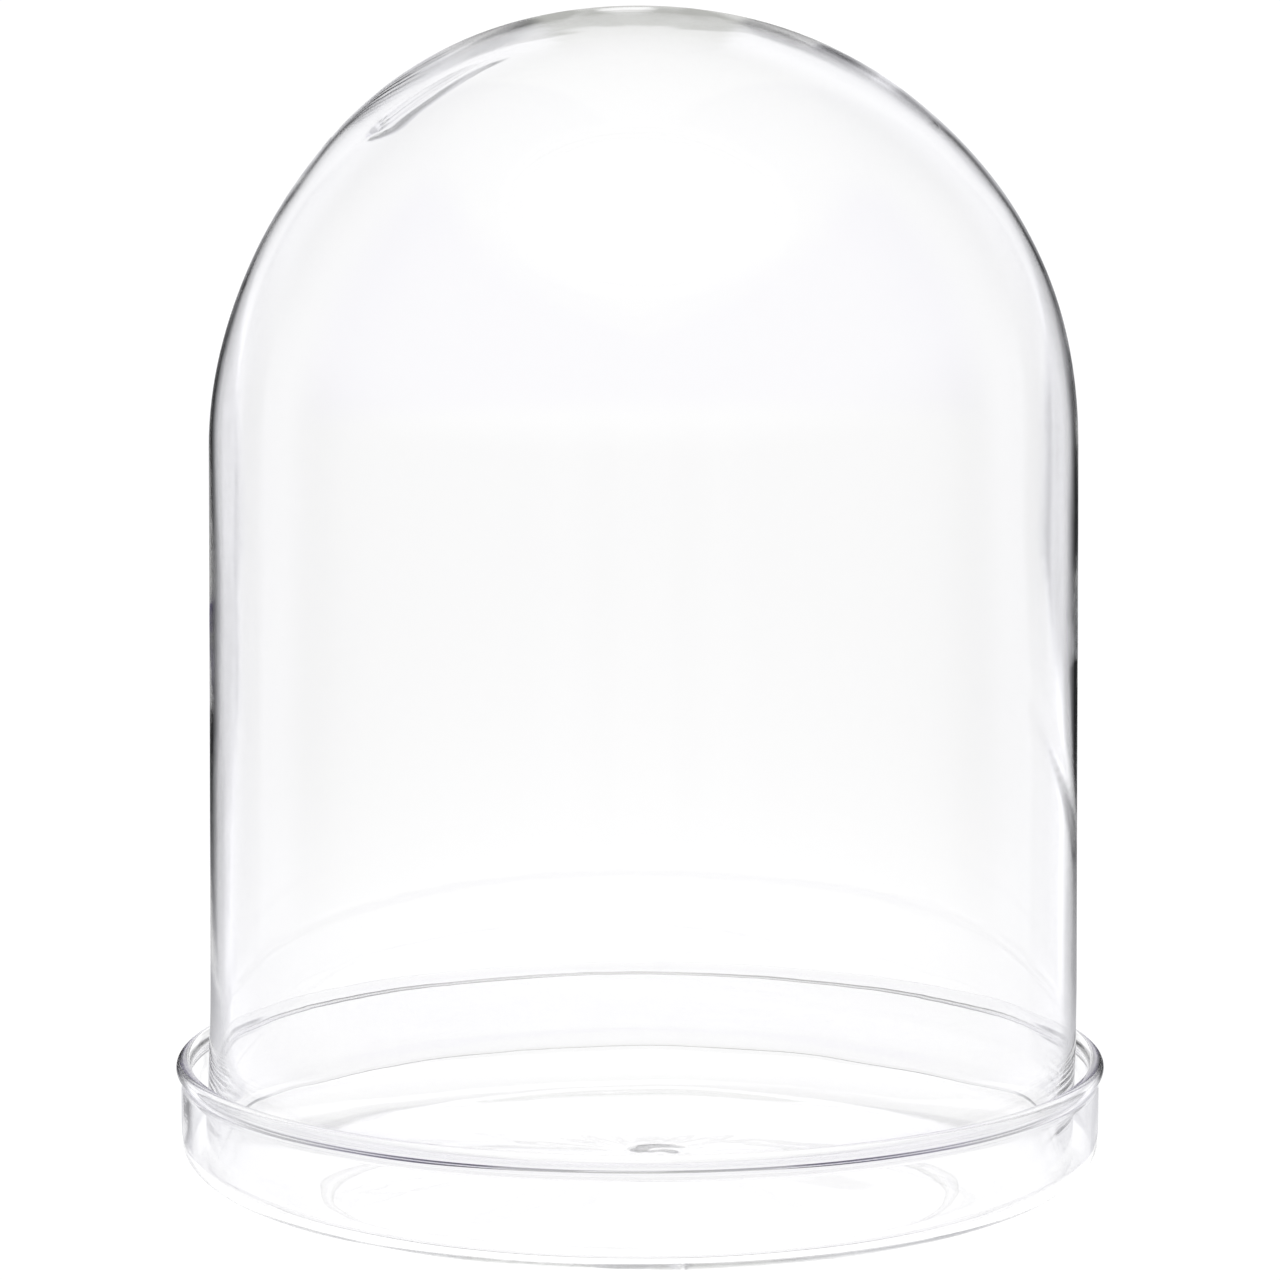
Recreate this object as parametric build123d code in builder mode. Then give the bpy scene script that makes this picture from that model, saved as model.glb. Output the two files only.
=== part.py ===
from build123d import *
from math import asin, degrees, radians, sin, sqrt
import os

# Glass cloche: a blown glass bell that stands loose in a shallow glass dish.
# Millimetres, +Z up. The origin is the centre of the dish's foot, on the surface it stands on.
# Both pieces are bodies of revolution about Z, so each is one closed profile turned once.
# A profile is drawn in the XZ plane, where the sketch's x is the radius and its y is the height.

# ---- Driving dimensions -------------------------------------------------------------------------
# Dish
RIM_RADIUS = 120.0  # to the outside of the rim's bead
DISH_HEIGHT = 34.0  # foot to the top of the bead
BEAD_RADIUS = 2.0  # the fire-polished bead that rounds the rim
BEAD_PROUD = 1.2  # how far the bead stands out from the wall
BEAD_BLEND = 0.8  # fillet where the bead runs into the wall
DISH_GLASS = 2.0  # glass thickness of the wall and heel
HEEL_HEIGHT = 14.5  # where the upright wall begins
HEEL_RADIUS = 7.0  # tight part of the rounded heel, on the outside
FOOT_OUTER = 82.0  # outer edge of the flat ring that the dish stands on
FOOT_INNER = 72.0  # inner edge of that ring
KICK_RADIUS = 20.0  # the middle of the base, pushed up level
KICK_HEIGHT = 0.8  # how far its underside is pushed up
KICK_GLASS = 2.4  # glass thickness over the kick
PONTIL_RADIUS = 11.0  # ground hollow where the blower's iron was broken off
PONTIL_DEPTH = 0.7

# Bell
BELL_TOP = 301.0  # crown of the bell, above the dish's foot
BELL_RADIUS = 112.4  # outside, at the foot of the wall
SPRING_RADIUS = 111.7  # outside, where the wall turns into the dome
BELL_GLASS = 2.5  # glass thickness
CROWN_RADIUS = 129.0  # radius of the flatter cap on top of the dome
CROWN_ANGLE = 14.0  # the cap ends where the surface slopes this much
HAUNCH_RADIUS = 98.5  # the rounder zone below the cap
HAUNCH_ANGLE = 41.0  # and the slope at its lower end
FOOT_GAP = 0.25  # working gap between the bell's foot and the dish's curved floor

# ---- Derived dimensions -------------------------------------------------------------------------
# The dish's heel is two tangent arcs: a slow one that rises from the foot and a tight one that
# turns upright into the wall. The slow radius follows from making the two arcs tangent.
wall_radius = RIM_RADIUS - BEAD_PROUD
heel_centre_r = wall_radius - HEEL_RADIUS
heel_run = heel_centre_r - FOOT_OUTER
base_radius = (heel_run**2 + HEEL_HEIGHT**2 - HEEL_RADIUS**2) / (2 * (HEEL_HEIGHT - HEEL_RADIUS))
base_angle = degrees(asin(heel_run / (base_radius - HEEL_RADIUS)))

# The bead's circle, and the heights at which the wall's two faces run into it.
bead_r = RIM_RADIUS - BEAD_RADIUS
bead_z = DISH_HEIGHT - BEAD_RADIUS
bead_z_outside = bead_z - sqrt(BEAD_RADIUS**2 - (wall_radius - bead_r) ** 2)
bead_z_inside = bead_z - sqrt(BEAD_RADIUS**2 - (bead_r - wall_radius + DISH_GLASS) ** 2)

# The shoulder's radius carries the dome from the haunch out to the wall, ending upright.
crown_reach = CROWN_RADIUS * sin(radians(CROWN_ANGLE))
haunch_reach = HAUNCH_RADIUS * (sin(radians(HAUNCH_ANGLE)) - sin(radians(CROWN_ANGLE)))
shoulder_radius = (SPRING_RADIUS - crown_reach - haunch_reach) / (1 - sin(radians(HAUNCH_ANGLE)))

# The bell's foot is a full round. It rests on the slow arc of the dish's floor, so its centre is
# one floor radius less its own radius and the gap away from that arc's centre.
lip_radius = BELL_GLASS / 2
lip_r = BELL_RADIUS - lip_radius
lip_reach = base_radius - DISH_GLASS - lip_radius - FOOT_GAP
lip_z = base_radius - sqrt(lip_reach**2 - (lip_r - FOOT_OUTER) ** 2)


# ---- Glass dish ---------------------------------------------------------------------------------
with BuildPart() as glass_dish:
    with BuildSketch(Plane.XZ) as dish_profile:
        with BuildLine():
            # Underside: kick, S-bend down to the foot, foot, and the two arcs of the heel.
            kick = Line((0, KICK_HEIGHT), (KICK_RADIUS, KICK_HEIGHT))
            Spline(kick @ 1, (FOOT_INNER, 0), tangents=[(1, 0), (1, 0)])
            foot = Line((FOOT_INNER, 0), (FOOT_OUTER, 0))
            base = JernArc(foot @ 1, (1, 0), base_radius, base_angle)
            heel = JernArc(base @ 1, base % 1, HEEL_RADIUS, 90 - base_angle)
            # Wall and bead.
            wall = Line(heel @ 1, (wall_radius, bead_z_outside))
            inner_rim = (wall_radius - DISH_GLASS, bead_z_inside)
            ThreePointArc(wall @ 1, (bead_r, DISH_HEIGHT), inner_rim)
            # Inside, back down to the axis: the same arcs, one glass thickness in.
            inner_wall = Line(inner_rim, (wall_radius - DISH_GLASS, HEEL_HEIGHT))
            inner_heel = JernArc(inner_wall @ 1, (0, -1), HEEL_RADIUS - DISH_GLASS, base_angle - 90)
            inner_base = JernArc(inner_heel @ 1, inner_heel % 1, base_radius - DISH_GLASS, -base_angle)
            floor_edge = (KICK_RADIUS, KICK_HEIGHT + KICK_GLASS)
            Spline(inner_base @ 1, floor_edge, tangents=[(-1, 0), (-1, 0)])
            Polyline(floor_edge, (0, KICK_HEIGHT + KICK_GLASS), kick @ 0)
        make_face()
        bead_creases = dish_profile.vertices().filter_by_position(
            Axis.Y, bead_z_outside - 0.01, bead_z_inside + 0.01
        )
        fillet(bead_creases, BEAD_BLEND)
    revolve(axis=Axis.Z)
    # The pontil hollow is a shallow cap of a sphere, ground into the middle of the underside.
    grinder_radius = (PONTIL_RADIUS**2 + PONTIL_DEPTH**2) / (2 * PONTIL_DEPTH)
    with Locations((0, 0, KICK_HEIGHT + PONTIL_DEPTH - grinder_radius)):
        Sphere(grinder_radius, mode=Mode.SUBTRACT)
glass_dish.part.label = "glass_dish"


# ---- Glass bell ---------------------------------------------------------------------------------
with BuildPart() as glass_bell:
    with BuildSketch(Plane.XZ):
        with BuildLine():
            # Outside: three tangent arcs from the crown to the wall, then the wall to the foot.
            crown = JernArc((0, BELL_TOP), (1, 0), CROWN_RADIUS, -CROWN_ANGLE)
            haunch = JernArc(crown @ 1, crown % 1, HAUNCH_RADIUS, CROWN_ANGLE - HAUNCH_ANGLE)
            shoulder = JernArc(haunch @ 1, haunch % 1, shoulder_radius, HAUNCH_ANGLE - 90)
            spring_z = (shoulder @ 1).Y
            outer_wall = Line(shoulder @ 1, (BELL_RADIUS, lip_z))
            # The foot's full round.
            lip_bottom = (lip_r, lip_z - lip_radius)
            lip = ThreePointArc(outer_wall @ 1, lip_bottom, (BELL_RADIUS - BELL_GLASS, lip_z))
            # Inside: the same wall and arcs, one glass thickness in.
            inner_wall = Line(lip @ 1, (SPRING_RADIUS - BELL_GLASS, spring_z))
            inner_shoulder = JernArc(
                inner_wall @ 1, (0, 1), shoulder_radius - BELL_GLASS, 90 - HAUNCH_ANGLE
            )
            inner_haunch = JernArc(
                inner_shoulder @ 1, inner_shoulder % 1, HAUNCH_RADIUS - BELL_GLASS, HAUNCH_ANGLE - CROWN_ANGLE
            )
            inner_crown = JernArc(
                inner_haunch @ 1, inner_haunch % 1, CROWN_RADIUS - BELL_GLASS, CROWN_ANGLE
            )
            Line(inner_crown @ 1, crown @ 0)
        make_face()
    revolve(axis=Axis.Z)
glass_bell.part.label = "glass_bell"


# ---- Output -------------------------------------------------------------------------------------
os.makedirs("parts", exist_ok=True)
for piece in (glass_dish, glass_bell):
    export_step(piece.part, f"parts/{piece.part.label}.step")

print(f"dish: slow heel arc {base_radius:.2f} mm over {base_angle:.2f} degrees")
print(f"bell: foot at {lip_z - lip_radius:.2f} mm, dome springs at {spring_z:.2f} mm")
print(f"bell: shoulder radius {shoulder_radius:.2f} mm")
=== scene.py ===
import math

import bpy
import numpy as np
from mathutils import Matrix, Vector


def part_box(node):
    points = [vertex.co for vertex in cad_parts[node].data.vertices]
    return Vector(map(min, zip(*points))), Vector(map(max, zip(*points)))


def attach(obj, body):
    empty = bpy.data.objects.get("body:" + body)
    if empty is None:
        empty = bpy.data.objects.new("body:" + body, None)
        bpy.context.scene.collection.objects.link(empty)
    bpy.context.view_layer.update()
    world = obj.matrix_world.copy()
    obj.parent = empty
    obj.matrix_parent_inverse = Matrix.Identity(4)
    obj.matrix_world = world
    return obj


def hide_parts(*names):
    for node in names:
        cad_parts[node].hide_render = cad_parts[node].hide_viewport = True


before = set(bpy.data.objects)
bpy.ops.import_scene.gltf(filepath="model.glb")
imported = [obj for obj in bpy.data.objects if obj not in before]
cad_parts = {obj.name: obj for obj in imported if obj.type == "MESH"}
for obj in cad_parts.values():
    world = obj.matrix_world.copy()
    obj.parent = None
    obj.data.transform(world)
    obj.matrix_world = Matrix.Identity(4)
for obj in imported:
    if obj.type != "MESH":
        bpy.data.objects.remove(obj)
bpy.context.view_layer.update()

# A blown glass cloche: a bell that stands loose in a shallow glass dish. Metres, +Z up.
# Both pieces are turned from half-sections that follow the CAD nodes, and then take the slight
# unevenness of glass blown and spun by hand. The studio is bright-field, as for any clear glass:
# white straight behind, dark just outside the view, and soft light beyond that.

MM = 0.001

# ---- Sizes taken from the frame -----------------------------------------------------------------
dish_low, dish_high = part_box("glass_dish")
bell_low, bell_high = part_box("glass_bell")
RIM_RADIUS = dish_high.x
DISH_HEIGHT = dish_high.z
BELL_RADIUS = bell_high.x
BELL_FOOT = bell_low.z
BELL_TOP = bell_high.z

# ---- The rest of the section, as in the CAD source but for the kick -----------------------------
BEAD_RADIUS = 2.0 * MM
BEAD_PROUD = 1.2 * MM
DISH_GLASS = 2.0 * MM
HEEL_HEIGHT = 14.5 * MM
HEEL_RADIUS = 7.0 * MM
FOOT_OUTER = 82.0 * MM
FOOT_INNER = 72.0 * MM
KICK_RADIUS = 20.0 * MM
# The base is pushed up less here than in the CAD source, which has 0.8 and 2.4 mm.
KICK_HEIGHT = 0.35 * MM
KICK_GLASS = 2.1 * MM

BELL_GLASS = 2.5 * MM
SPRING_RADIUS = BELL_RADIUS - 0.7 * MM
CROWN_RADIUS = 129.0 * MM
CROWN_ANGLE = 14.0
HAUNCH_RADIUS = 98.5 * MM
HAUNCH_ANGLE = 41.0

# ---- Signs of handwork: angles are in degrees from +X, the viewer's right in the main view ------
# A list of steps gives the height where each change starts, the height that it takes and its size.
LEAN_STEPS = (
    (BELL_FOOT, 0.045, 0.9 * MM),
    (0.19, 0.045, 0.8 * MM),
    (0.245, 0.056, -2.0 * MM),
)
# The bell's glass against its even thickness: thin at the foot, then belly, shoulder and crown.
FOOT_THIN = -0.9 * MM
GLASS_STEPS = (
    (0.09, 0.08, 1.0 * MM),
    (0.19, 0.06, -1.5 * MM),
    (0.262, 0.03, 0.34 * MM),
)
# Low in the bell the glass is thinner on the right and thicker on the left.
ONE_SIDED = 0.25 * MM
ONE_SIDED_TOP = 0.12
ONE_SIDED_FADE = 0.05
# The foot stays round, and the ripples die out towards it and towards the crown.
FOOT_ROUND = 3.0 * MM
FOOT_FADE = 30.0 * MM
CROWN_FADE = 70.0 * MM
WALL_RIPPLE = 0.02 * MM
INNER_RIPPLE = 0.035 * MM
FINE_RIPPLE = 0.005 * MM
LOW_RIPPLE = 0.01 * MM
LOW_RIPPLE_TOP = 0.07
LOW_RIPPLE_FADE = 0.03
# Runs of thicker glass inside the bell: height, start and end as (angle, height), and width.
DROP = (1.1 * MM, (174, 0.2975), (168, 0.2715), 6.5 * MM)
WALL_RUN = (0.12 * MM, (-43, 0.142), (-11, 0.086), 4.0 * MM)
RUN_START_WIDTH = 0.5
RUN_FADE_IN = 0.6
RUN_FADE_OUT = 0.15

DISH_RIPPLE = 0.03 * MM
DISH_FINE_SHARE = 0.6
DISH_MIDDLE_FADE = 25.0 * MM
UNDERSIDE_FADE = 12.0 * MM
# The ring that the bell stands on is smoother, so that the two pieces stay apart.
SEAT_RADIUS = 106.0 * MM
SEAT_WIDTH = 8.0 * MM
SEAT_SMOOTHING = 0.7
# A point this far up from the table is clear of it.
TABLE_CLEAR = 0.05 * MM
SCAR_RADIUS = 11.0 * MM
SCAR_DEPTH = 0.7 * MM
SCAR_PLACE = (4.0 * MM, 1.0 * MM)
SWIRL_ARMS = 2
SWIRL_TWIST = 700.0
SWIRL_DEPTH = 0.35
SWIRL_START = 3.0 * MM

# ---- Mesh fineness ------------------------------------------------------------------------------
SEGMENTS = 288
CURVE_STEP = 1.6 * MM
OUTER_STEP = 3.0 * MM
STRAIGHT_STEP = 2.4 * MM
TURN_STEP = 7.0
CENTRE_STEP = 0.6 * MM
SPREAD_SAMPLES = 7201
# Where the bell's mesh is finer, at the drop and at the wall's run: the middle in degrees, the
# half-width in radians and how many times finer.
BELL_CROWDS = ((169, 0.16, 3.0), (-26, 0.35, 2.0))


def sine(degrees):
    return math.sin(math.radians(degrees))


def cosine(degrees):
    return math.cos(math.radians(degrees))


def ease(share):
    """Rises smoothly from 0 to 1 as share does."""
    share = np.clip(share, 0, 1)
    return share * share * (3 - 2 * share)


def stepped(z, steps):
    """The sum at height z of the changes that a list of steps gives."""
    total = 0 * z
    for start, run, change in steps:
        total = total + change * ease((z - start) / run)
    return total


# ---- Half-sections ------------------------------------------------------------------------------
class Outline:
    """A half-section, drawn as a pen moves. Heading is in degrees: 0 is outward and 90 is up."""

    def __init__(self, r, z, heading):
        self.points = [(r, z)]
        self.inside = [0]
        self.heading = heading
        self.face = 0

    def add(self, r, z):
        self.points.append((r, z))
        self.inside.append(self.face)

    def arc(self, radius, turn, step=CURVE_STEP):
        """A tangent arc. A positive turn is to the left."""
        r, z = self.points[-1]
        side = math.copysign(90, turn)
        centre_r = r + radius * cosine(self.heading + side)
        centre_z = z + radius * sine(self.heading + side)
        length = radius * math.radians(abs(turn))
        count = math.ceil(max(length / step, abs(turn) / TURN_STEP))
        for i in range(1, count + 1):
            toward = self.heading - side + turn * i / count
            self.add(centre_r + radius * cosine(toward), centre_z + radius * sine(toward))
        self.heading += turn

    def line(self, r, z, heading, step=STRAIGHT_STEP):
        """A straight run, after which the pen points along heading."""
        start = np.array(self.points[-1])
        end = np.array((r, z))
        count = max(1, math.ceil(np.linalg.norm(end - start) / step))
        for i in range(1, count + 1):
            self.add(*(start + (end - start) * i / count))
        self.heading = heading

    def bend(self, r, z, heading):
        """A smooth bend that leaves along the pen's heading and arrives along the new one."""
        start = np.array(self.points[-1])
        end = np.array((r, z))
        reach = np.linalg.norm(end - start)
        leave = reach * np.array((cosine(self.heading), sine(self.heading)))
        arrive = reach * np.array((cosine(heading), sine(heading)))
        count = math.ceil(reach / CURVE_STEP)
        for i in range(1, count + 1):
            t = i / count
            point = (2 * t**3 - 3 * t**2 + 1) * start + (t**3 - 2 * t**2 + t) * leave
            point += (3 * t**2 - 2 * t**3) * end + (t**3 - t**2) * arrive
            self.add(*point)
        self.heading = heading


def bell_outline():
    """Outside from the crown to the foot, then inside from the foot to the crown."""
    haunch_reach = HAUNCH_RADIUS * (sine(HAUNCH_ANGLE) - sine(CROWN_ANGLE))
    reach = SPRING_RADIUS - CROWN_RADIUS * sine(CROWN_ANGLE) - haunch_reach
    shoulder_radius = reach / (1 - sine(HAUNCH_ANGLE))
    lip_radius = BELL_GLASS / 2
    lip_z = BELL_FOOT + lip_radius

    pen = Outline(0, BELL_TOP, 0)
    pen.arc(CROWN_RADIUS, -CROWN_ANGLE, OUTER_STEP)
    pen.arc(HAUNCH_RADIUS, CROWN_ANGLE - HAUNCH_ANGLE, OUTER_STEP)
    pen.arc(shoulder_radius, HAUNCH_ANGLE - 90, OUTER_STEP)
    spring_z = pen.points[-1][1]
    pen.line(BELL_RADIUS, lip_z, -90, 2 * STRAIGHT_STEP)
    pen.arc(lip_radius, -90)
    pen.face = 1
    pen.arc(lip_radius, -90)
    pen.line(SPRING_RADIUS - BELL_GLASS, spring_z, 90)
    pen.arc(shoulder_radius - BELL_GLASS, 90 - HAUNCH_ANGLE)
    pen.arc(HAUNCH_RADIUS - BELL_GLASS, HAUNCH_ANGLE - CROWN_ANGLE)
    pen.arc(CROWN_RADIUS - BELL_GLASS, CROWN_ANGLE)
    return pen


def dish_outline():
    """Inside from the middle to the rim, then the outside from the rim to the foot and middle."""
    wall = RIM_RADIUS - BEAD_PROUD
    heel_run = wall - HEEL_RADIUS - FOOT_OUTER
    heel_rise = HEEL_HEIGHT - HEEL_RADIUS
    base_radius = (heel_run**2 + HEEL_HEIGHT**2 - HEEL_RADIUS**2) / (2 * heel_rise)
    base_angle = math.degrees(math.asin(heel_run / (base_radius - HEEL_RADIUS)))
    bead_r = RIM_RADIUS - BEAD_RADIUS
    bead_z = DISH_HEIGHT - BEAD_RADIUS
    outer_angle = math.degrees(math.acos((wall - bead_r) / BEAD_RADIUS))
    inner_angle = math.degrees(math.acos((bead_r - wall + DISH_GLASS) / BEAD_RADIUS))

    pen = Outline(0, KICK_HEIGHT + KICK_GLASS, 0)
    pen.face = 1
    pen.line(KICK_RADIUS, KICK_HEIGHT + KICK_GLASS, 0, CURVE_STEP)
    pen.bend(FOOT_OUTER, DISH_GLASS, 0)
    pen.arc(base_radius - DISH_GLASS, base_angle)
    pen.arc(HEEL_RADIUS - DISH_GLASS, 90 - base_angle)
    pen.line(wall - DISH_GLASS, bead_z - BEAD_RADIUS * sine(inner_angle), 90 + inner_angle)
    pen.face = 0
    pen.arc(BEAD_RADIUS, -180 - outer_angle - inner_angle)
    pen.line(wall, HEEL_HEIGHT, -90)
    pen.arc(HEEL_RADIUS, base_angle - 90)
    pen.arc(base_radius, -base_angle)
    pen.line(FOOT_INNER, 0, 180)
    pen.bend(KICK_RADIUS, KICK_HEIGHT, 180)
    pen.line(0, KICK_HEIGHT, 180, CENTRE_STEP)
    return pen


# ---- Turning a half-section ---------------------------------------------------------------------
def spread(crowds):
    """Angles round one turn, closer together at each crowd."""
    fine = np.linspace(0, 2 * math.pi, SPREAD_SAMPLES)
    density = np.ones_like(fine)
    for middle, width, times in crowds:
        away = np.angle(np.exp(1j * (fine - math.radians(middle))))
        density += (times - 1) * np.exp(-(away / width) ** 2)
    count = np.concatenate([[0], np.cumsum((density[1:] + density[:-1]) / 2)])
    return np.interp(np.arange(SEGMENTS) * count[-1] / SEGMENTS, count, fine)


def turned(outline, raised, crowds=(), lean=()):
    """A closed body of revolution. raised says how far each point stands out from the glass, and
    is given r, z, angle and inside as arrays. lean is the steps that shift the body along X."""
    section = np.array(outline.points)
    inside = np.array(outline.inside)
    along = np.gradient(section, axis=0)
    along[0] = (1, 0)
    along[-1] = (-1, 0)
    out = np.stack([-along[:, 1], along[:, 0]], axis=-1)
    out /= np.linalg.norm(out, axis=1, keepdims=True)
    angle = spread(crowds)

    def place(rows, a):
        r = section[rows, 0:1] + 0 * a
        z = section[rows, 1:2] + 0 * a
        a = a + 0 * r
        rise = raised(r, z, a, inside[rows, None] + 0 * a)
        r = r + rise * out[rows, 0:1]
        z = z + rise * out[rows, 1:2]
        x = r * np.cos(a) + stepped(z, lean)
        return np.stack([x, r * np.sin(a), z], axis=-1).reshape(-1, 3)

    rings = len(section) - 2
    points = np.concatenate([
        place(np.arange(1, rings + 1), angle[None, :]),
        place(np.array([0]), np.zeros((1, 1))),
        place(np.array([rings + 1]), np.zeros((1, 1))),
    ])
    ring, step = np.meshgrid(np.arange(rings - 1), np.arange(SEGMENTS), indexing="ij")
    here = ring * SEGMENTS + step
    beside = ring * SEGMENTS + (step + 1) % SEGMENTS
    quads = np.stack([here, here + SEGMENTS, beside + SEGMENTS, beside], axis=-1).reshape(-1, 4)
    faces = quads.tolist()
    last_ring = (rings - 1) * SEGMENTS
    for i in range(SEGMENTS):
        j = (i + 1) % SEGMENTS
        faces.append((rings * SEGMENTS, i, j))
        faces.append((rings * SEGMENTS + 1, last_ring + j, last_ring + i))
    return points.tolist(), faces


def piece(name, points, faces):
    mesh = bpy.data.meshes.new(name)
    mesh.from_pydata(points, [], faces)
    mesh.validate()
    mesh.shade_smooth()
    obj = bpy.data.objects.new(name, mesh)
    bpy.context.scene.collection.objects.link(obj)
    return obj


# ---- Unevenness of the glass --------------------------------------------------------------------
def ripples(seed, count, turns, climbs):
    """A smooth random surface over angle and height, about one unit high. turns is the most waves
    round the glass, and climbs the most waves in a metre of height."""
    draw = np.random.default_rng(seed)
    round_waves = draw.integers(1, turns + 1, count)
    up_waves = draw.uniform(-climbs, climbs, count)
    phases = draw.uniform(0, 2 * math.pi, count)
    sizes = draw.uniform(0.5, 1, count) / np.sqrt(count / 2)

    def surface(a, z):
        total = 0 * a
        for n, k, phase, size in zip(round_waves, up_waves, phases, sizes):
            total = total + size * np.cos(n * a + 2 * math.pi * k * z + phase)
        return total

    return surface


def streak(r, z, a, start, end, width):
    """A long low run of glass, one unit high, from start to end. It is narrower at its start."""
    first = math.radians(start[0])
    across = np.angle(np.exp(1j * (a - first))) * r
    up = z - start[1]
    run = (math.radians(end[0] - start[0]) * r, end[1] - start[1] + 0 * r)
    length = np.hypot(*run)
    share = (across * run[0] + up * run[1]) / length**2
    off = (across * run[1] - up * run[0]) / length
    wide = width * (RUN_START_WIDTH + (1 - RUN_START_WIDTH) * np.clip(share, 0, 1))
    ends = ease(share / RUN_FADE_IN) * ease((1 - share) / RUN_FADE_OUT)
    return np.exp(-(off / wide) ** 2) * ends


slow_wall = ripples(11, 7, 5, 9)
slow_inner = ripples(12, 12, 9, 14)
fine_inner = ripples(13, 16, 26, 30)
slow_dish = ripples(14, 9, 6, 20)
fine_dish = ripples(15, 14, 22, 40)


def bell_inner(r, z, a):
    """How the bell's inside face stands off its even place, but for the steps in thickness."""
    low = ease((LOW_RIPPLE_TOP - z) / LOW_RIPPLE_FADE)
    inner = INNER_RIPPLE * slow_inner(a, z)
    inner = inner + (FINE_RIPPLE + LOW_RIPPLE * low) * fine_inner(a, z)
    inner = inner + ONE_SIDED * (ease((z - ONE_SIDED_TOP) / ONE_SIDED_FADE) - 1) * np.cos(a)
    for height, start, end, width in (DROP, WALL_RUN):
        inner = inner + height * streak(r, z, a, start, end, width)
    return inner


def bell_raised(r, z, a, inside):
    above_foot = ease((z - BELL_FOOT - FOOT_ROUND) / FOOT_FADE)
    away = above_foot * ease(r / CROWN_FADE)
    outer = WALL_RIPPLE * slow_wall(a, z)
    even = FOOT_THIN + stepped(z, GLASS_STEPS)
    inner = away * (bell_inner(r, z, a) - outer) + above_foot * even
    return np.where(inside, inner, away * outer)


def pontil_scar(r, a):
    """A shallow hollow, off the middle, with a swirl in it."""
    x = r * np.cos(a) - SCAR_PLACE[0]
    y = r * np.sin(a) - SCAR_PLACE[1]
    away = np.hypot(x, y)
    swirl = np.sin(SWIRL_ARMS * np.arctan2(y, x) + SWIRL_TWIST * away) * ease(away / SWIRL_START)
    bowl = np.clip(1 - (away / SCAR_RADIUS) ** 2, 0, 1) ** 2
    return -SCAR_DEPTH * bowl * (1 + SWIRL_DEPTH * swirl)


def dish_raised(r, z, a, inside):
    outside = 1 - inside
    rough = DISH_RIPPLE * (slow_dish(a, z) + DISH_FINE_SHARE * fine_dish(a, z))
    seat = 1 - SEAT_SMOOTHING * np.exp(-((r - SEAT_RADIUS) / SEAT_WIDTH) ** 2)
    under = outside * (1 - ease((r - FOOT_INNER) / UNDERSIDE_FADE))
    clear = ease((z + TABLE_CLEAR) / (2 * TABLE_CLEAR))
    calm = ease(r / DISH_MIDDLE_FADE) * seat * (1 - under * (1 - clear))
    return rough * calm + outside * pontil_scar(r, a)


bell = piece("blown_bell", *turned(bell_outline(), bell_raised, BELL_CROWDS, LEAN_STEPS))
dish = piece("blown_dish", *turned(dish_outline(), dish_raised))


# ---- Materials ----------------------------------------------------------------------------------
GLASS_COLOUR = (0.999, 0.999, 1.0)
GLASS_IOR = 1.52
WAVE_SCALE = 90.0
MARK_SCALE = 40.0
# Handling marks show where their noise is above the first value, fully from the second on.
MARK_RANGE = (0.45, 0.75)
BELL_SQUEEZE = (1, 1, 2.5)
BELL_WAVE = 0.006 * MM
BELL_FILM = 0.012
DISH_SQUEEZE = (1, 1, 1)
DISH_WAVE = 0.008 * MM
DISH_FILM = 0.018


def noise(nodes, links, coordinates, **settings):
    """The value of a noise texture that reads the given coordinates."""
    node = nodes.new("ShaderNodeTexNoise")
    for name, value in settings.items():
        node.inputs[name].default_value = value
    links.new(coordinates, node.inputs["Vector"])
    return node.outputs["Fac"]


def glass(name, squeeze, wave, film):
    """Clear glass. squeeze brings the waves left by blowing and turning closer together along an
    axis, wave is how high they stand, and film is how rough the faint handling marks are."""
    material = bpy.data.materials.new(name)
    material.use_nodes = True
    nodes = material.node_tree.nodes
    links = material.node_tree.links
    shader = nodes["Principled BSDF"]
    shader.inputs["Base Color"].default_value = (*GLASS_COLOUR, 1)
    shader.inputs["IOR"].default_value = GLASS_IOR
    shader.inputs["Transmission Weight"].default_value = 1

    place = nodes.new("ShaderNodeTexCoord").outputs["Object"]
    squeezed = nodes.new("ShaderNodeMapping")
    squeezed.inputs["Scale"].default_value = squeeze
    links.new(place, squeezed.inputs["Vector"])
    waves = noise(nodes, links, squeezed.outputs["Vector"], Scale=WAVE_SCALE, Detail=1.0)
    bump = nodes.new("ShaderNodeBump")
    bump.inputs["Strength"].default_value = 1
    bump.inputs["Distance"].default_value = wave
    links.new(waves, bump.inputs["Height"])
    links.new(bump.outputs["Normal"], shader.inputs["Normal"])

    marks = noise(nodes, links, place, Scale=MARK_SCALE, Detail=4.0, Roughness=0.6)
    rough = nodes.new("ShaderNodeMapRange")
    rough.inputs["From Min"].default_value = MARK_RANGE[0]
    rough.inputs["From Max"].default_value = MARK_RANGE[1]
    rough.inputs["To Min"].default_value = 0.0
    rough.inputs["To Max"].default_value = film
    links.new(marks, rough.inputs["Value"])
    links.new(rough.outputs["Result"], shader.inputs["Roughness"])
    return material


bell.data.materials.append(glass("bell_glass", BELL_SQUEEZE, BELL_WAVE, BELL_FILM))
dish.data.materials.append(glass("dish_glass", DISH_SQUEEZE, DISH_WAVE, DISH_FILM))
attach(bell, "bell")
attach(dish, "dish")
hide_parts("glass_bell")
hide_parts("glass_dish")

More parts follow.
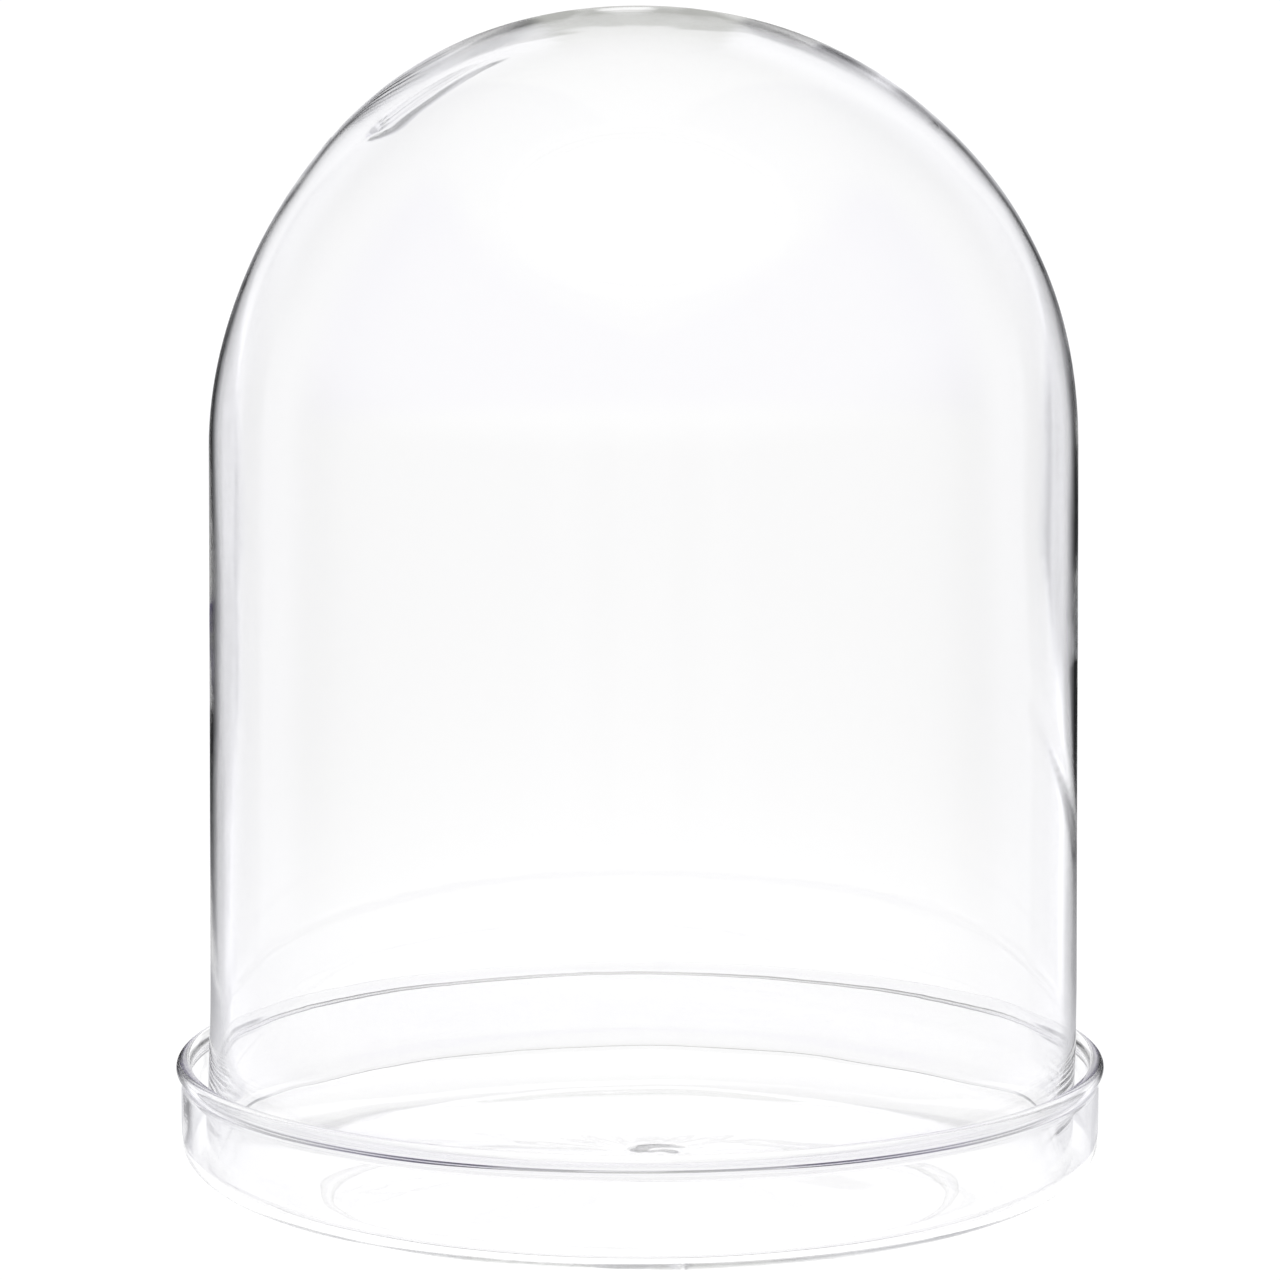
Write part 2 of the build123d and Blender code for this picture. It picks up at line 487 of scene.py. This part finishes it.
# ---- Camera -------------------------------------------------------------------------------------
CAMERA_BACK = 0.6249
CAMERA_HEIGHT = 0.16465
CAMERA_DIP = 0.040
FOCAL_LENGTH = 67.22
SENSOR_WIDTH = 36
CLIP = (0.01, 60)
scene = bpy.context.scene
camera = bpy.data.objects.new("camera", bpy.data.cameras.new("camera"))
scene.collection.objects.link(camera)
scene.camera = camera
camera.location = (0, -CAMERA_BACK, CAMERA_HEIGHT)
camera.rotation_euler = (math.pi / 2 - CAMERA_DIP, 0, 0)
camera.data.sensor_width = SENSOR_WIDTH
camera.data.lens = FOCAL_LENGTH
camera.data.clip_start, camera.data.clip_end = CLIP

# ---- Studio -------------------------------------------------------------------------------------
# The studio hangs on the camera, as if the glass stood on a turntable: a tent of light round the
# glass, with a paper sweep behind it, black flags beside the sweep and soft boxes beside those.
# Angles are in degrees. Azimuth and elevation are from the lens axis, and the clock angle goes
# round that axis from straight up. A level of 1 is white. A pair of angles says where a change
# starts and where it ends, or what a patch of light lies between. The levels were set by trial
# against the look of the glass, and don't describe a real room.
TENT_RADIUS = 25.0
TINT = (0.96, 0.96, 1.0)

# The paper: its level, and its outline's half-width, height and squareness.
PAPER = 1.06
SWEEP_SIDE = 15.0
SWEEP_TOP = 20.5
SWEEP_SQUARENESS = 3.0
PAPER_EDGE = ((14, 1), (15.5, 0))

# Levels by the angle past the paper, which counts from SWEEP_SIDE at the paper's outline.
LOW_SETUP = (
    (14, 1.0), (14.7, 0.83), (15.5, 0.4),  # the paper's edge
    (17.5, 0.03), (24, 0.02),  # a black flag
    (28.5, 0.22), (30.5, 0.52), (35, 0.58),  # a grey card
    (37.5, 1.0), (39.5, 1.28), (48, 1.28), (53, 1.15),  # a soft box
    (57, 0.85), (62, 0.5), (67, 0.35),  # its falloff
    (72, 0.3), (80, 0.4), (90, 0.45),  # the dim room
)
UPPER_SETUP = (
    (14, 1.0), (17.5, 0.65), (21, 0.4),  # the paper's softer upper edge
    (24, 0.1), (27, 0.12),  # a black flag
    (30, 0.5), (37, 0.85), (48, 0.95), (57, 0.7),  # a soft box
    (65, 0.45), (90, 0.45),  # the dim room
)
UPPER_FROM = (6.0, 18.0)

# Above the paper: a grey fan of light by clock angle, a black gap on each side and a small lamp.
OVERHEAD = 15.0
FAN = (-12.0, 12.0)
FAN_SOFT = 1.5
FAN_FOOT = 20.0
FAN_LEVEL = (0.47, 0.475, 0.455)
GAP_SIDE = (25.0, 16.0)
GAP_TOP = (38.0, 32.0)
GAP_LEVEL = 0.05
LAMP_CLOCK = (-5.0, 2.0)
LAMP_HEIGHT = (25.0, 32.0)
LAMP_SOFT = 1.0

# The white table below, the dim room behind the camera with its low violet shade, and the ceiling.
TABLE = 0.92
TABLE_BELOW = (-2.0, -15.0)
REAR = 0.42
REAR_FROM = (75.0, 95.0)
REAR_SHADE = (0.14, 0.10, 0.30)
SHADE_FOOT = (3.0, 9.0)
SHADE_TOP = (23.0, 50.0)
SHADE_RISES_OVER = 75.0
SHADE_SOFT = 1.5
HIGH = 0.5
HIGH_FROM = (52.0, 60.0)

# The tent's mesh is fine within this azimuth and between these elevations, and coarse elsewhere.
FINE_SIDE = 24
FINE_HEIGHT = (-6, 34)
FINE_STEP = 0.4
COARSE_STEP = 4

FLOOR = 1.15
FLOOR_RADIUS = 0.14
FLOOR_DROP = 0.2 * MM
FLOOR_SIDES = 128


def mix(one, other, share):
    """Goes from one to the other as share goes from 0 to 1."""
    return one * (1 - share) + other * share


def ramp(value, start, end):
    """Eases from 0 at start to 1 at end, which may be the lower of the two."""
    return float(ease((value - start) / (end - start)))


def between(value, low, high, soft):
    """1 between low and high, easing to 0 over the last soft degrees at each end."""
    return float(ease((value - low) / soft) * ease((high - value) / soft))


def along(angle, stops):
    """The level at an angle, on straight lines between (angle, level) stops."""
    angles, levels = zip(*stops)
    return float(np.interp(angle, angles, levels))


def past_paper(side, height):
    """The angle past the paper's outline, counted from SWEEP_SIDE there."""
    corner = (side / SWEEP_SIDE) ** SWEEP_SQUARENESS + (height / SWEEP_TOP) ** SWEEP_SQUARENESS
    if corner == 0:
        return 0
    off_axis = math.hypot(side, height)
    return SWEEP_SIDE + off_axis - off_axis / corner ** (1 / SWEEP_SQUARENESS)


def beside_paper(off_paper, elevation, clock):
    """The level of the flags, cards and soft boxes."""
    low = along(off_paper, LOW_SETUP)
    upper = along(off_paper, UPPER_SETUP)
    flank = mix(low, upper, ramp(elevation, *UPPER_FROM))
    if elevation > OVERHEAD:
        gap = ramp(abs(clock), *GAP_SIDE) * ramp(elevation, *GAP_TOP)
        flank = mix(flank, min(flank, GAP_LEVEL), gap)
    return flank


def overhead(colour, elevation, clock):
    """Adds the fan, which is paper up to its foot, and the lamp."""
    fan = np.array(FAN_LEVEL) if elevation > FAN_FOOT else PAPER
    colour = mix(colour, fan, between(clock, *FAN, FAN_SOFT))
    lamp = between(clock, *LAMP_CLOCK, LAMP_SOFT) * between(elevation, *LAMP_HEIGHT, LAMP_SOFT)
    return mix(colour, PAPER, lamp)


def behind_camera(side, elevation):
    """The dim room. Its shade is lowest straight behind and higher towards the sides."""
    low, high = SHADE_TOP
    top = low + (high - low) * min(1, (180 - side) / SHADE_RISES_OVER)
    shade = ramp(elevation, *SHADE_FOOT) * ramp(elevation, top + SHADE_SOFT, top - SHADE_SOFT)
    return mix(REAR, np.array(REAR_SHADE), shade)


def tent_colour(azimuth, elevation):
    """The colour of the tent in one direction."""
    side = abs(azimuth)
    clock = math.degrees(math.atan2(sine(azimuth) * cosine(elevation), sine(elevation)))
    below = ramp(elevation, *TABLE_BELOW)
    off_paper = past_paper(side, max(elevation, 0))
    flank = mix(beside_paper(off_paper, elevation, clock), TABLE, below)
    colour = mix(np.array(TINT) * flank, PAPER, along(off_paper, PAPER_EDGE))
    if elevation > OVERHEAD:
        colour = overhead(colour, elevation, clock)
    rear = mix(behind_camera(side, elevation), TABLE, below)
    colour = mix(colour, rear, ramp(side, *REAR_FROM))
    return mix(colour, HIGH, ramp(elevation, *HIGH_FROM)).tolist()


def glow(name):
    """Gives off the colour that is stored at each point of the mesh."""
    material = bpy.data.materials.new(name)
    material.use_nodes = True
    material.cycles.emission_sampling = "NONE"
    nodes = material.node_tree.nodes
    nodes.clear()
    out = nodes.new("ShaderNodeOutputMaterial")
    light = nodes.new("ShaderNodeEmission")
    stored = nodes.new("ShaderNodeAttribute")
    stored.attribute_name = "glow"
    material.node_tree.links.new(stored.outputs["Color"], light.inputs["Color"])
    material.node_tree.links.new(light.outputs[0], out.inputs["Surface"])
    return material


def lit(name, points, faces, colours):
    """A surface of the studio that gives off light."""
    mesh = bpy.data.meshes.new(name)
    mesh.from_pydata(points, [], faces)
    stored = mesh.attributes.new("glow", "FLOAT_COLOR", "POINT")
    for item, colour in zip(stored.data, colours):
        item.color = (*colour, 1)
    mesh.materials.append(glow(name))
    obj = bpy.data.objects.new(name, mesh)
    scene.collection.objects.link(obj)
    return obj


def light_tent():
    low, high = FINE_HEIGHT
    azimuths = [
        *range(-180, -FINE_SIDE, COARSE_STEP),
        *np.arange(-FINE_SIDE, FINE_SIDE, FINE_STEP),
        *range(FINE_SIDE, 180 + 1, COARSE_STEP),
    ]
    elevations = [
        *range(-90, low, COARSE_STEP),
        *np.arange(low, high, FINE_STEP),
        *range(high, 90 + 1, COARSE_STEP),
    ]
    points = []
    colours = []
    for elevation in elevations:
        for azimuth in azimuths:
            flat = TENT_RADIUS * cosine(elevation)
            x = flat * sine(azimuth)
            y = TENT_RADIUS * sine(elevation)
            z = -flat * cosine(azimuth)
            points.append((x, y, z))
            colours.append(tent_colour(azimuth, elevation))
    across = len(azimuths)
    faces = []
    for row in range(len(elevations) - 1):
        for column in range(across - 1):
            corner = row * across + column
            faces.append((corner, corner + 1, corner + across + 1, corner + across))
    tent = lit("light_tent", points, faces, colours)
    tent.parent = camera
    tent.visible_camera = False


def paper_floor():
    turns = [2 * math.pi * i / FLOOR_SIDES for i in range(FLOOR_SIDES)]
    points = [(FLOOR_RADIUS * math.cos(a), FLOOR_RADIUS * math.sin(a), -FLOOR_DROP) for a in turns]
    colours = [(FLOOR, FLOOR, FLOOR)] * FLOOR_SIDES
    lit("paper_floor", points, [tuple(range(FLOOR_SIDES))], colours)


light_tent()
paper_floor()
world = bpy.data.worlds.new("room")
scene.world = world
world.use_nodes = True
world.node_tree.nodes["Background"].inputs["Color"].default_value = (PAPER, PAPER, PAPER, 1)

scene.view_settings.view_transform = "Standard"
# A ray crosses many faces of glass near the outlines, and one that is cut short turns black.
scene.cycles.max_bounces = 128
scene.cycles.transmission_bounces = 64
scene.cycles.glossy_bounces = 128
